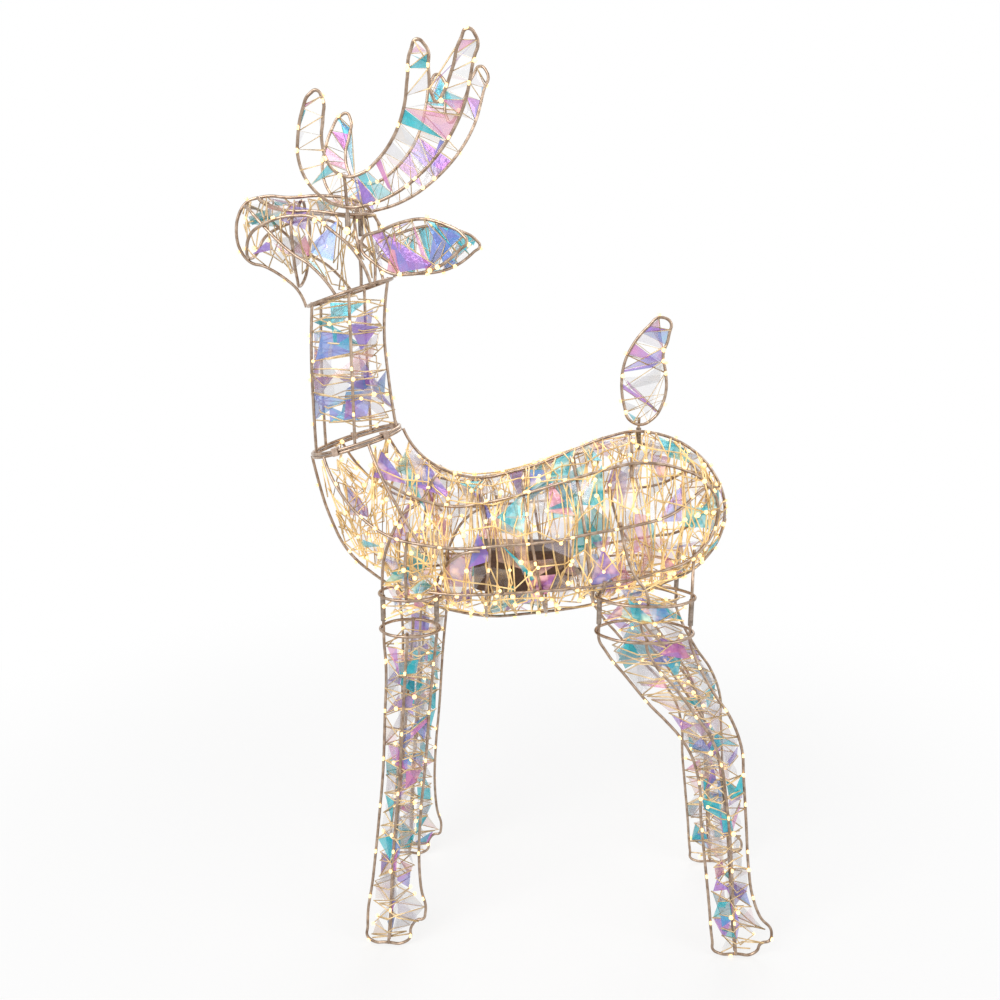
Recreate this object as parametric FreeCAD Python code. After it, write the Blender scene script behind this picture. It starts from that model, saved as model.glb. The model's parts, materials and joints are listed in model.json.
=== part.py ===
"""Light-up yard reindeer: a bent-wire deer cage with a lift-off head, antlers, tail and legs.

The deer stands on z = 0 and faces -X, so its left side is -Y. Sizes are in millimetres.
"""
import FreeCAD, Part
import math
import os
from FreeCAD import Vector

# Driving sizes -------------------------------------------------------------
wire_diameter = 4.0        # cage wire
weld_gap = 0.15            # air left between two wires that are welded side by side
bow_allowance = 0.4        # more air where a tightly bent wire bows towards the one it meets
height_scale = 1.0         # stretch of the whole deer upwards
length_scale = 1.0         # stretch of the whole deer from nose to rump
width_scale = 1.0          # stretch of the whole deer sideways

neck_ring_radius = 62.0    # ring where the neck stands on the body
neck_ring_tilt = 17.0      # degrees, the back of the ring is the higher side
throat_ring_radius = 58.0  # ring where the neck meets the head
throat_ring_tilt = 18.0

sleeve_length = 36.0       # tube that joins a leg wire to the body
sleeve_wall = 1.2
sleeve_clearance = 0.2     # all round the leg wire inside its sleeve
peg_engagement = 16.0      # how far a leg, antler or tail wire enters its tube
collar_height = 521.0      # ring at the top of a leg, on the body
leg_ring_drop = 50.0       # ring on the leg, below the collar

clip_length = 8.0          # clips that hold the neck ring on the body
clip_wall = 2.0
clip_clearance = 0.3

bulb_diameter = 3.4        # light bead
bulb_length = 5.0
bulb_gap = 0.15            # air between a bead and its wire

box_length = 134.0         # control box in the belly
box_width = 60.0
box_height = 58.0
box_wall = 2.4
box_corner = 18.0
box_split = 36.0           # height of the lower half
box_middle_x = 10.0
bar_height = 506.0         # middle of the two bars that carry the box
foot_width = 11.0
board_thickness = 1.6
screw_diameter = 3.0
screw_head = 5.6
button_diameter = 12.0
button_travel = 1.5
button_clearance = 0.25
gland_diameter = 15.0
gland_side = 8.0           # the lead leaves this far beside the rump wire
gland_rise = 18.0          # middle of the gland above the floor of the box
lead_bore = 6.0            # hole for the supply lead
rail_clearance = 2.0       # air between the box and the bars that carry it
screw_edge = 9.0           # screws from the sides of the box
screw_post = 3.6           # radius of the posts that take the screws
screw_fit = 0.1            # play of a screw in its hole
board_length = 84.0
board_width = 40.0
board_rise = 16.0          # top of the board above the floor of the box
button_stand = 2.5         # how far the button stands above the cover
flange_thickness = 0.9
flange_gap = 0.1           # play between the button's flange and the cover

wire_radius = wire_diameter / 2
lap = wire_diameter + weld_gap          # centre distance of two welded wires
sleeve_bore = wire_radius + sleeve_clearance
sleeve_radius = sleeve_bore + sleeve_wall
beside_sleeve = sleeve_radius + wire_radius + weld_gap

parts = {}
routes = []


def at(x, y, z):
    """A place on the deer, stretched with the whole deer."""
    return Vector(x * length_scale, y * width_scale, z * height_scale)


def both_sides(maker):
    """The same piece for the left (-1) and the right (+1) of the deer."""
    return [maker(-1), maker(1)]


# Wires ---------------------------------------------------------------------
def arc_piece(start, heading, end):
    """The arc that leaves start along heading and ends at end."""
    chord = end - start
    side = heading - chord * (heading.dot(chord) / chord.dot(chord))
    if side.Length < 1e-3:
        return Part.LineSegment(start, end).toShape()
    bulge = chord.Length / 2 * math.tan(heading.getAngle(chord) / 2)
    middle = (start + end) * 0.5 + side.normalize() * bulge
    return Part.Arc(start, middle, end).toShape()


def arc_pair(start, leaving, end, arriving):
    """Two arcs that join tangentially and match the heading at both ends."""
    span = end - start
    both = leaving + arriving
    spread = 2 * (1 - leaving.dot(arriving))
    along = span.dot(both)
    if spread < 1e-6:
        reach = span.dot(span) / (2 * along)
    else:
        reach = (math.sqrt(along * along + spread * span.dot(span)) - along) / spread
    joint = (start + end + (leaving - arriving) * reach) * 0.5
    first = arc_piece(start, leaving, joint)
    meeting = (joint - start - leaving * reach).normalize()
    return [first, arc_piece(joint, meeting, end)]


def headings(points, closed):
    """Direction of the wire at each point: that of the circle through it and its neighbours."""
    count = len(points)
    if count == 2:
        return [(points[1] - points[0]).normalize()] * 2
    result = []
    for index in range(count):
        if not closed and index in (0, count - 1):
            result.append(None)
            continue
        before = points[index] - points[index - 1]
        after = points[(index + 1) % count] - points[index]
        blend = before * (after.Length / before.Length) + after * (before.Length / after.Length)
        result.append(blend.normalize())
    if not closed:
        result[0] = mirrored_heading(result[1], points[1] - points[0])
        result[-1] = mirrored_heading(result[-2], points[-1] - points[-2])
    return result


def mirrored_heading(heading, chord):
    unit = Vector(chord).normalize()
    return (unit * (2 * unit.dot(heading)) - heading).normalize()


def route(points, closed=False, first=None, last=None):
    """A smooth centreline of arcs through the points; first and last make the end runs straight."""
    ways = headings(points, closed)
    if first:
        ways[0] = ways[1] = Vector(first).normalize()
    if last:
        ways[-1] = ways[-2] = Vector(last).normalize()
    edges = []
    for index in range(len(points) if closed else len(points) - 1):
        after = (index + 1) % len(points)
        edges += arc_pair(points[index], ways[index], points[after], ways[after])
    return Part.Wire(edges)


def ring_route(middle, radius, tilt):
    """A round ring whose back is tilted up by tilt degrees."""
    lean = math.radians(tilt)
    normal = Vector(-math.sin(lean), 0, math.cos(lean))
    return Part.Wire([Part.Circle(middle, normal, radius).toShape()])


def on_ring(middle, radius, tilt, angle):
    """A place on a tilted ring, from 0 degrees at the back to 180 at the front."""
    lean = math.radians(tilt)
    turn = math.radians(angle)
    reach = radius * math.cos(turn)
    return middle + Vector(reach * math.cos(lean), radius * math.sin(turn), reach * math.sin(lean))


def tube(path, radius=wire_radius):
    """A solid wire along a centreline."""
    first = path.OrderedEdges[0]
    start = first.valueAt(first.FirstParameter)
    heading = first.tangentAt(first.FirstParameter)
    if (path.OrderedVertexes[0].Point - start).Length > 1e-6:
        start = first.valueAt(first.LastParameter)
        heading = first.tangentAt(first.LastParameter)
    profile = Part.Wire([Part.Circle(start, heading, radius).toShape()])
    solid = path.makePipeShell([profile], True, False)
    if solid.Volume < 0:
        solid.reverse()
    return solid


def wires(node, *paths):
    """Bend wires along the paths and keep them as one node."""
    routes.extend(paths)
    parts.setdefault(node, []).extend(tube(path) for path in paths)
    return paths[0] if len(paths) == 1 else paths


def nearest(path, place):
    """The point of a wire nearest to a place, and the wire's direction there."""
    best = min(path.Edges, key=lambda edge: edge.distToShape(Part.Vertex(place))[0])
    point = best.distToShape(Part.Vertex(place))[1][0][0]
    return point, best.tangentAt(best.Curve.parameter(point))


def beside(path, place, heading, inner, distance=lap):
    """Centre of a wire that crosses path near place and lies on the side of inner."""
    point, along = nearest(path, place)
    normal = along.cross(heading).normalize()
    if normal.dot(inner - point) < 0:
        normal = -normal
    return point + normal * distance


def laid(points, crossings, inner):
    """The points of a wire, each crossing one moved beside the wire that it is welded to.

    crossings gives, for the number of a point, the centreline that the wire crosses there.
    """
    result = list(points)
    for number, path in crossings.items():
        before = points[max(number - 1, 0)]
        after = points[min(number + 1, len(points) - 1)]
        target = inner(points[number]) if callable(inner) else inner
        result[number] = beside(path, points[number], after - before, target)
    return result


# Body cage -----------------------------------------------------------------
neck_ring_middle = at(-216, 0, 711)
throat_ring_middle = at(-218, 0, 910)
body_middle = at(20, 0, 590)


def neck_place(angle):
    return on_ring(neck_ring_middle, neck_ring_radius, neck_ring_tilt, angle)


def outside_neck_ring(angle):
    return on_ring(neck_ring_middle, neck_ring_radius + lap, neck_ring_tilt, angle)


neck_seat_ring = wires("neck_seat_ring", ring_route(neck_ring_middle, neck_ring_radius, neck_ring_tilt))

spine_belly_loop = wires("spine_belly_loop", route([
    outside_neck_ring(180), at(-274, 0, 665), at(-259, 0, 608), at(-236, 0, 558),
    at(-190, 0, 515), at(-140, 0, 486), at(-90, 0, 470), at(-35, 0, 462), at(20, 0, 467), at(112, 0, 483),
    at(200, 0, 512), at(256, 0, 545), at(282, 0, 590), at(283, 0, 637), at(262, 0, 680), at(222, 0, 714),
    at(185, 0, 727), at(159, 0, 729), at(120, 0, 720), at(74, 0, 701), at(6, 0, 675), at(-62, 0, 664),
    at(-110, 0, 680), at(-140, 0, 707), outside_neck_ring(0)]))


def side_loop(side):
    """Upper rail, rump and lower rail of one side as one wire."""
    return route([
        at(-170, 70 * side, 674), at(-118, 72 * side, 648), at(-75, 74 * side, 641),
        at(-42, 75 * side, 646),
        at(8, 76 * side, 658), at(59, 76 * side, 674), at(110, 74 * side, 690), at(157, 70 * side, 700),
        at(205, 62 * side, 694), at(244, 52 * side, 675), at(265, 46 * side, 646), at(264, 46 * side, 608),
        at(240, 60 * side, 577), at(185, 82 * side, 557), at(112, 90 * side, 542), at(47, 91 * side, 534),
        at(-25, 91 * side, 528), at(-69, 91 * side, 526), at(-112, 85 * side, 527)])


side_loop_left = wires("side_loop_left", side_loop(-1))
side_loop_right = wires("side_loop_right", side_loop(1))


def mid_rail_points(side):
    """From the neck ring down the chest and back along the flank towards the rump."""
    return [
        outside_neck_ring(122 * side), at(-235, 68 * side, 671), at(-199, 84 * side, 629),
        at(-155, 99 * side, 605), at(-117, 105 * side, 598), at(-70, 107 * side, 594),
        at(-17, 108 * side, 599), at(50, 108 * side, 606), at(98, 107 * side, 616),
        at(150, 101 * side, 625), at(195, 86 * side, 634)]


rump_crossing = {side: beside(path, at(252, 50 * side, 664), Vector(60, -60 * side, 10), body_middle)
                 for side, path in ((-1, side_loop_left), (1, side_loop_right))}
rump_middle = beside(spine_belly_loop, at(276, 0, 655), Vector(0, 1, 0), body_middle)
mid_hoop = wires("mid_hoop", route(
    mid_rail_points(-1) + [rump_crossing[-1], rump_middle, rump_crossing[1]] + mid_rail_points(1)[::-1]))

side_loops = {-1: side_loop_left, 1: side_loop_right}


def rib(top_x, upper, middle, lower, bottom_x):
    """A closed rib inside the spine, the six rails and the belly wire."""
    near = [at(upper[0], -upper[1], upper[2]), at(middle[0], -middle[1], middle[2]),
            at(lower[0], -lower[1], lower[2])]
    far = [Vector(p.x, -p.y, p.z) for p in reversed(near)]
    top = nearest(spine_belly_loop, at(top_x, 0, 690))[0]
    bottom = nearest(spine_belly_loop, at(bottom_x, 0, 470))[0]
    points = [top] + near + [bottom] + far
    paths = [spine_belly_loop, side_loop_left, mid_hoop, side_loop_left, spine_belly_loop,
             side_loop_right, mid_hoop, side_loop_right]
    centre = Vector((top.x + bottom.x) / 2, 0, (top.z + bottom.z) / 2)
    seated = []
    for number, (point, path) in enumerate(zip(points, paths)):
        heading = points[(number + 1) % len(points)] - points[number - 1]
        seated.append(beside(path, point, heading, centre))
    return route(seated, closed=True)


rib_front = wires("rib_front", rib(-48, (-41, 75, 646), (-30, 108, 598), (-35, 91, 528), -38))
rib_middle = wires("rib_middle", rib(6, (12, 76, 660), (24, 108, 603), (36, 91, 533), 45))
rib_rear = wires("rib_rear", rib(76, (80, 75, 680), (92, 107, 614), (102, 90, 541), 113))


def tail_rib_points():
    near = [at(149, -82, 684), at(150, -70, 700), at(152, -38, 718)]
    far = [Vector(p.x, -p.y, p.z) for p in reversed(near)]
    points = near + [at(152, 0, 729)] + far
    crossings = {1: side_loop_left, 3: spine_belly_loop, 5: side_loop_right}
    return laid(points, crossings, at(150, 0, 600))


tail_rib = wires("tail_rib", route(tail_rib_points()))

# Shoulder wires: the chest rails run from the neck ring down to the mid hoop.
chest_rails = wires("chest_rails", *both_sides(lambda side: route(laid(
    [outside_neck_ring(65 * side), at(-172, 75 * side, 682), at(-147, 90 * side, 640),
     at(-121, 105 * side, 599), at(-114, 105 * side, 588)],
    {3: mid_hoop}, body_middle))))


# Legs ----------------------------------------------------------------------
# A leg is a loop (front wire, hoof and back wire) with an outer and an inner strut.
front_leg = {
    "front": [(-175, 455), (-173, 420), (-176, 337), (-180, 260), (-187, 190), (-196, 110), (-206, 30)],
    "hoof": [(-205, 8), (-197, 2.5), (-180, 2), (-156, 2), (-147, 8), (-143, 28), (-136, 38), (-125, 42),
             (-123, 50)],
    "back": [(-129, 92), (-131, 142), (-128, 200), (-120, 281), (-112, 380), (-104, 455)],
    "strut": [(-141, 440), (-149, 337), (-155, 260), (-161, 200), (-167, 130), (-172, 50), (-176, 4)],
    "peg_x": (-175, -103), "middle_x": -139,
    "half_width": 32, "top_y": 72,
}
hind_leg = {
    "front": [(127, 438), (150, 410), (187, 366), (208, 345), (226, 325), (244, 296), (256, 255),
              (260, 205),
              (267, 150), (276, 80), (283, 22)],
    "hoof": [(286, 6), (294, 2), (318, 2), (338, 2), (346, 8), (350, 18), (364, 26), (365, 36)],
    "back": [(347, 62), (335, 95), (328, 137), (322, 200), (316, 260), (310, 312), (295, 350), (268, 390),
             (250, 422), (241, 442)],
    "strut": [(186, 440), (215, 405), (243, 366), (266, 332), (282, 290), (290, 245), (298, 190),
              (304, 130), (310, 60), (316, 4)],
    "peg_x": (114, 235), "middle_x": 174,
    "half_width": 40, "top_y": 70,
}
hoof_y = 106.0             # sideways place of the hooves
peg_bend_height = 464.0    # above this the leg wires run straight up into their sleeves


def leg_y(leg, z):
    """How far out the plane of a leg is at a height."""
    share = max(0.0, 1 - z / peg_bend_height)
    return leg["top_y"] + (hoof_y - leg["top_y"]) * share


def leg_place(leg, side, x, z, out=0.0):
    place = at(x, leg_y(leg, z) * side, z)
    return place + Vector(0, out * side, 0)


def strut_spread(leg, z):
    """How far a strut stands off the plane of its leg, wide at the thigh and narrow at the hoof."""
    share = min(1.0, max(0.0, z - 60) / (collar_height - leg_ring_drop - 60))
    return lap + 4 + (leg["half_width"] - lap - 4) * share ** 2.2


def oval(middle, half_x, half_y):
    """A closed level ring."""
    points = []
    for step in range(8):
        turn = math.radians(45 * step)
        points.append(middle + Vector(half_x * math.cos(turn), half_y * math.sin(turn), 0))
    return route(points, closed=True)


def leg_corner(leg, side, number, z):
    """The straight part of the front (0) or back (1) wire of a leg, at a height in the finished deer."""
    place = at(leg["peg_x"][number], leg["top_y"] * side, 0)
    return Vector(place.x, place.y, z)


sleeve_top = (collar_height - 4) * height_scale
sleeve_foot = sleeve_top - sleeve_length
leg_wire_top = sleeve_foot + peg_engagement
stub_foot = leg_wire_top + 1.0          # the body's wire ends just above the leg's wire
ring_height = collar_height - leg_ring_drop


def leg_loop(leg, side):
    bend = peg_bend_height * height_scale
    points = [leg_corner(leg, side, 0, leg_wire_top), leg_corner(leg, side, 0, bend)]
    points += [leg_place(leg, side, x, z) for x, z in leg["front"] + leg["hoof"] + leg["back"]]
    points += [leg_corner(leg, side, 1, bend), leg_corner(leg, side, 1, leg_wire_top)]
    return route(points, first=(0, 0, -1), last=(0, 0, 1))


def leg_struts(leg, side):
    """Outer and inner strut, from the ring on the leg to the sole of the hoof."""
    result = []
    for out in (1, -1):
        half = leg["half_width"] - lap
        seat = at(leg["middle_x"], leg["top_y"] * side, ring_height) + Vector(0, half * out * side, 0)
        points = [seat + Vector(0, 0, 4), seat - Vector(0, 0, 6)]
        for x, z in leg["strut"][:-1]:
            points.append(leg_place(leg, side, x, z, out * min(half, strut_spread(leg, z))))
        sole = leg["strut"][-1]
        points.append(leg_place(leg, side, sole[0], sole[1], out * lap))
        result.append(route(points))
    return result


def ring_round_leg(leg, side, z):
    """A level ring laid outside the front and back wires of a leg."""
    front, back = leg["peg_x"]
    middle = at((front + back) / 2, leg["top_y"] * side, z)
    half_length = (back - front) / 2 * length_scale + lap
    return oval(middle, half_length, leg["half_width"] * width_scale)


def leg_sleeve(leg, side, number):
    """Tube that the top of a leg wire enters from below."""
    foot = leg_corner(leg, side, number, sleeve_foot)
    outer = Part.makeCylinder(sleeve_radius, sleeve_length, foot)
    return outer.cut(Part.makeCylinder(sleeve_bore, sleeve_length, foot))


legs = {
    "front_left": (front_leg, -1), "front_right": (front_leg, 1),
    "hind_left": (hind_leg, -1), "hind_right": (hind_leg, 1),
}
leg_loops = {}
leg_strut_paths = {}
for name, (leg, side) in legs.items():
    leg_loops[name] = wires(name + "_leg_loop", leg_loop(leg, side))
    leg_strut_paths[name] = leg_struts(leg, side)
    wires(name + "_leg_struts", *leg_strut_paths[name], ring_round_leg(leg, side, ring_height))

wires("leg_collars", *[ring_round_leg(leg, side, collar_height) for leg, side in legs.values()])
parts["leg_sleeves"] = [leg_sleeve(leg, side, number) for leg, side in legs.values() for number in (0, 1)]


def shoulder_brace_points():
    """From the front leg's forward sleeve over the shoulder to the spine and down the other side."""
    crossings = {2: mid_hoop, 3: chest_rails[0], 4: side_loop_left, 6: spine_belly_loop}
    near = [leg_corner(front_leg, -1, 0, stub_foot), leg_corner(front_leg, -1, 0, sleeve_top + 10),
            at(-158, -98, 606), at(-143, -89, 633), at(-121, -72, 649), at(-108, -40, 670)]
    far = [Vector(p.x, -p.y, p.z) for p in reversed(near)]
    points = near + [at(-102, 0, 676)] + far
    last = len(points) - 1
    crossings.update({last - 2: mid_hoop, last - 3: chest_rails[1], last - 4: side_loop_right})
    return laid(points, crossings, at(-60, 0, 600))


wires("shoulder_brace", route(shoulder_brace_points(), first=(0, 0, 1), last=(0, 0, -1)))


def back_stub_front(side):
    """From the front leg's rear sleeve back onto the mid hoop, lying under it."""
    drop = Vector(0, 0, lap + 2 * bow_allowance)
    under = nearest(mid_hoop, at(-58, 107 * side, 595))[0] - drop
    under_end = nearest(mid_hoop, at(-42, 107 * side, 597))[0] - drop
    foot = leg_corner(front_leg, side, 1, stub_foot)
    return route([foot, leg_corner(front_leg, side, 1, sleeve_top + 10),
                  at(-95, 84 * side, 552), at(-80, 98 * side, 575), under, under_end], first=(0, 0, 1))


def outer_stub_front(side):
    """From the front collar up to the mid hoop."""
    foot = at(front_leg["middle_x"], front_leg["top_y"] * side, collar_height - 4)
    foot.y += (front_leg["half_width"] - lap) * side
    points = [foot, foot + Vector(0, 0, 10), at(-139, 101 * side, 573), at(-137, 102 * side, 602),
              at(-136, 96 * side, 612)]
    return route(laid(points, {3: mid_hoop}, at(-60, 0, 590)))


def front_stub_hind(side):
    """From the hind leg's forward sleeve up outside the lower rail."""
    seat = beside(side_loops[side], at(118, 90 * side, 543), Vector(0, 0, 1), at(118, 300 * side, 543))
    return route([leg_corner(hind_leg, side, 0, stub_foot), leg_corner(hind_leg, side, 0, sleeve_top + 2),
                  seat, seat + Vector(0, 0, 6)], first=(0, 0, 1))


def back_stub_hind(side):
    """From the hind leg's rear sleeve up inside the lower rail near the rump."""
    seat = beside(side_loops[side], at(238, 60 * side, 577), Vector(0, 0, 1), at(100, 0, 577))
    return route([leg_corner(hind_leg, side, 1, stub_foot), leg_corner(hind_leg, side, 1, sleeve_top + 2),
                  seat, seat + Vector(0, 0, 6)], first=(0, 0, 1))


def outer_stub_hind(side):
    """From the hind collar up the thigh to the mid hoop."""
    foot = at(hind_leg["middle_x"], hind_leg["top_y"] * side, collar_height - 4)
    foot.y += (hind_leg["half_width"] - lap) * side
    points = [foot, foot + Vector(0, 0, 10), at(151, 106 * side, 570), at(137, 103 * side, 622),
              at(135, 100 * side, 630)]
    points = laid(points, {3: mid_hoop}, at(137, 0, 622))
    return route(points)


wires("leg_stubs", *[maker(side) for side in (-1, 1) for maker in (
    back_stub_front, outer_stub_front, front_stub_hind, back_stub_hind, outer_stub_hind)])

# The antlers stand in planes that lean outwards; their posts stand inside these planes.
antler_splay = 0.3
antler_root_y = 46.0
antler_root_z = 1014.0
antler_post_x = -209.0
post_step = (lap + bow_allowance / 4) / math.cos(math.atan(antler_splay))


def antler_y(z):
    return antler_root_y + antler_splay * (z - antler_root_z)


def antler_post_y(z, side):
    return at(0, antler_y(z) * side, 0).y - post_step * side


# Neck and head -------------------------------------------------------------
ring_lift = wire_diameter + clip_clearance
lean = math.radians(neck_ring_tilt)
ring_up = Vector(-math.sin(lean), 0, math.cos(lean))
neck_base_middle = neck_ring_middle + ring_up * ring_lift
neck_base_ring = wires("neck_base_ring", ring_route(neck_base_middle, neck_ring_radius, neck_ring_tilt))
throat_ring = wires("throat_ring", ring_route(throat_ring_middle, throat_ring_radius, throat_ring_tilt))


def neck_rail(angle, waist):
    """A neck wire inside both rings, hollowed towards the middle by waist."""
    foot = on_ring(neck_base_middle, neck_ring_radius - lap, neck_ring_tilt, angle)
    head = on_ring(throat_ring_middle, throat_ring_radius - lap - bow_allowance, throat_ring_tilt, angle)
    outward = Vector(math.cos(math.radians(angle)), math.sin(math.radians(angle)), 0)
    rise = head - foot
    low = foot + rise * 0.3 - outward * waist * 0.7
    high = foot + rise * 0.68 - outward * waist
    return route([foot - Vector(0, 0, 1), low, high, head + Vector(0, 0, 3)])


neck_rails = wires("neck_rails", neck_rail(0, 9), neck_rail(80, 2), neck_rail(152, -3),
                   neck_rail(-152, -3), neck_rail(-80, 2))


def outside_throat_ring(angle):
    return on_ring(throat_ring_middle, throat_ring_radius + lap, throat_ring_tilt, angle)


head_profile = wires("head_profile", route([
    outside_throat_ring(180), at(-288, 0, 914), at(-305, 0, 929), at(-327, 0, 942), at(-350, 0, 950),
    at(-361, 0, 966), at(-364, 0, 986), at(-360, 0, 1006), at(-348, 0, 1023), at(-325, 0, 1030),
    at(-290, 0, 1029), at(-250, 0, 1031), at(-215, 0, 1027), at(-194, 0, 1019), at(-181, 0, 1003),
    at(-169, 0, 978), at(-161, 0, 950), outside_throat_ring(0)]))


def cheek_wire(side):
    """From the chin round the muzzle and over the cheek to the back of the throat ring."""
    chin = beside(head_profile, at(-350, 0, 950), Vector(0, 1, 0), at(-300, 0, 980))
    return [chin + Vector(0, 3 * side, 0), at(-345, 22 * side, 960), at(-337, 33 * side, 980),
            at(-310, 42 * side, 997), at(-278, 46 * side, 1004), at(-250, 49 * side, 1002),
            at(-228, 53 * side, 987), at(-200, 56 * side, 962), outside_throat_ring(52 * side)]


def mirrored(points):
    return [Vector(p.x, -p.y, p.z) for p in reversed(points)]


cheek_points = cheek_wire(1)
cheek_loop = wires("cheek_loop", route(mirrored(cheek_points[1:]) + [
    Vector(cheek_points[0].x, 0, cheek_points[0].z)] + cheek_points[1:]))


def mouth_points():
    """From the throat ring along the mouth and round under the nose to the other side."""
    inside_ring = on_ring(throat_ring_middle, throat_ring_radius - lap, throat_ring_tilt, 98)
    right = [inside_ring, at(-253, 49, 941), at(-284, 44, 962), at(-318, 39, 992), at(-338, 27, 1014)]
    points = [Vector(p.x, -p.y, p.z) for p in right] + [at(-352, 0, 1020)] + right[::-1]
    crossings = {3: cheek_loop, 5: head_profile, 7: cheek_loop}
    return laid(points, crossings, at(-290, 0, 975))


mouth_loop = wires("mouth_loop", route(mouth_points()))


def brow_wire(side):
    """From the nose over the eye to the back of the crown, beside the profile wire at both ends."""
    beside_socket = at(-212, 0, 1006)
    beside_socket.y = antler_post_y(antler_root_z, side) - beside_sleeve * side
    nose = nearest(head_profile, at(-332, 0, 1029))[0] + Vector(0, lap * side, 0)
    back = nearest(head_profile, at(-184, 0, 1007))[0] + Vector(0, lap * side, 0)
    return route([nose, at(-312, 20 * side, 1016), at(-285, 31 * side, 1011), at(-250, 36 * side, 1010),
                  beside_socket, at(-192, 22 * side, 1007), back])


brow_wires = wires("brow_wires", *both_sides(brow_wire))


def crown_points():
    foot = on_ring(throat_ring_middle, throat_ring_radius - lap - bow_allowance, throat_ring_tilt, 62)
    right = [foot, at(-190, 55, 952), at(-198, 49, 985), at(-200, 32, 1007), at(-200, 14, 1018)]
    points = [Vector(p.x, -p.y, p.z) for p in right] + [at(-200, 0, 1022)] + right[::-1]
    crossings = {1: cheek_loop, 3: brow_wires[0], 5: head_profile, 7: brow_wires[1], 9: cheek_loop}
    return laid(points, crossings, at(-225, 0, 975))


crown_hoop = wires("crown_hoop", route(crown_points()))


def muzzle_points():
    right = [at(-282, 20, 928), at(-281, 44, 962), at(-279, 46, 1003), at(-278, 32, 1011)]
    points = [at(-288, 0, 915)] + right + [at(-276, 0, 1029)] + mirrored(right)
    centre = at(-282, 0, 975)
    seats = [(0, head_profile), (2, mouth_loop), (3, cheek_loop), (4, brow_wires[1]), (5, head_profile),
             (6, brow_wires[0]), (7, cheek_loop), (8, mouth_loop)]
    result = list(points)
    for number, path in seats:
        heading = points[(number + 1) % len(points)] - points[number - 1]
        result[number] = beside(path, points[number], heading, centre, lap + 2 * bow_allowance)
    return result


muzzle_ring = wires("muzzle_ring", route(muzzle_points(), closed=True))

ear_outline = [(-157, 988), (-135, 995), (-112, 998), (-84, 992), (-60, 979), (-55, 972), (-64, 962),
               (-90, 943), (-125, 934), (-155, 936), (-172, 946)]
ear_splay = 0.42


def ear(side):
    """A leaf loop that spreads backwards and out, laid on the crown hoop at its root."""
    root = nearest(crown_hoop, at(-193, 50 * side, 968))[0] + Vector(0.94, 0.34 * side, 0) * lap
    points = [root]
    for x, z in ear_outline:
        place = at(x, 0, z)
        place.y = root.y + ear_splay * (place.x - root.x) * side
        points.append(place)
    return route(points, closed=True)


ear_left = wires("ear_left", ear(-1))
ear_right = wires("ear_right", ear(1))

# Antlers -------------------------------------------------------------------
antler_outline = [
    (-222, 1017), (-242, 1029), (-256, 1047), (-262, 1070), (-259, 1095), (-251, 1120), (-240, 1138),
    (-231, 1142), (-225, 1133), (-227, 1112), (-231, 1092), (-229, 1072), (-220, 1056), (-205, 1049),
    (-186, 1053), (-163, 1070), (-143, 1095), (-130, 1124), (-124, 1154), (-119, 1180), (-110, 1192),
    (-101, 1185), (-99, 1160), (-97, 1138), (-91, 1129), (-84, 1137), (-72, 1162), (-62, 1190),
    (-52, 1202), (-43, 1193), (-48, 1168), (-61, 1122), (-80, 1089), (-110, 1056), (-145, 1031),
    (-178, 1018), (-203, 1014)]


def antler_loop(side):
    return route([at(x, antler_y(z) * side, z) for x, z in antler_outline], closed=True)


antler_socket_top = 1008.0
antler_socket_length = 26.0

def antler_post(side):
    """A straight peg that leans into the antler, on the inner side of its outline."""
    x = antler_post_x * length_scale
    top = 1052.0
    foot_y = antler_post_y(antler_root_z, side)
    base = antler_socket_top * height_scale
    points = [Vector(x, foot_y, base - peg_engagement), Vector(x, foot_y, base),
              Vector(x, antler_post_y(1024, side), 1024 * height_scale),
              Vector(x, antler_post_y(top, side), top * height_scale)]
    return route(points, first=(0, 0, 1))


def tube_socket(x, y, top, length):
    """An upright tube for a peg, open at the top."""
    foot = Vector(x, y, top - length)
    outer = Part.makeCylinder(sleeve_radius, length, foot)
    return outer.cut(Part.makeCylinder(sleeve_bore, length, foot))


antler_loops = {}
for side, name in ((-1, "left"), (1, "right")):
    antler_loops[side] = wires("antler_" + name + "_outline", antler_loop(side))
    wires("antler_" + name + "_post", antler_post(side))
parts["antler_sockets"] = [
    tube_socket(antler_post_x * length_scale, antler_post_y(antler_root_z, side),
                antler_socket_top * height_scale, antler_socket_length) for side in (-1, 1)]

# Tail ----------------------------------------------------------------------
tail_x = 165.0
tail_outline = [
    (165, 738), (152, 744), (144, 764), (140, 790), (143, 820), (153, 843), (170, 865), (189, 879),
    (199, 875), (199, 853), (193, 830), (197, 808), (199, 788), (195, 766), (185, 748)]
tail_socket_length = 30.0
spine_at_tail = nearest(spine_belly_loop, at(tail_x, 0, 729))[0]
tail_socket_top = spine_at_tail.z + 4
tail_peg_y = beside_sleeve
tail_plane_y = tail_peg_y - lap


tail_loop = wires("tail_loop", route(
    [Vector(x * length_scale, tail_plane_y, z * height_scale) for x, z in tail_outline], closed=True))
tail_post = wires("tail_post", route([
    Vector(tail_x * length_scale, tail_peg_y, tail_socket_top - peg_engagement),
    Vector(tail_x * length_scale, tail_peg_y, tail_socket_top + 14)]))
parts["tail_socket"] = [
    tube_socket(tail_x * length_scale, tail_peg_y, tail_socket_top, tail_socket_length)]


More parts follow.
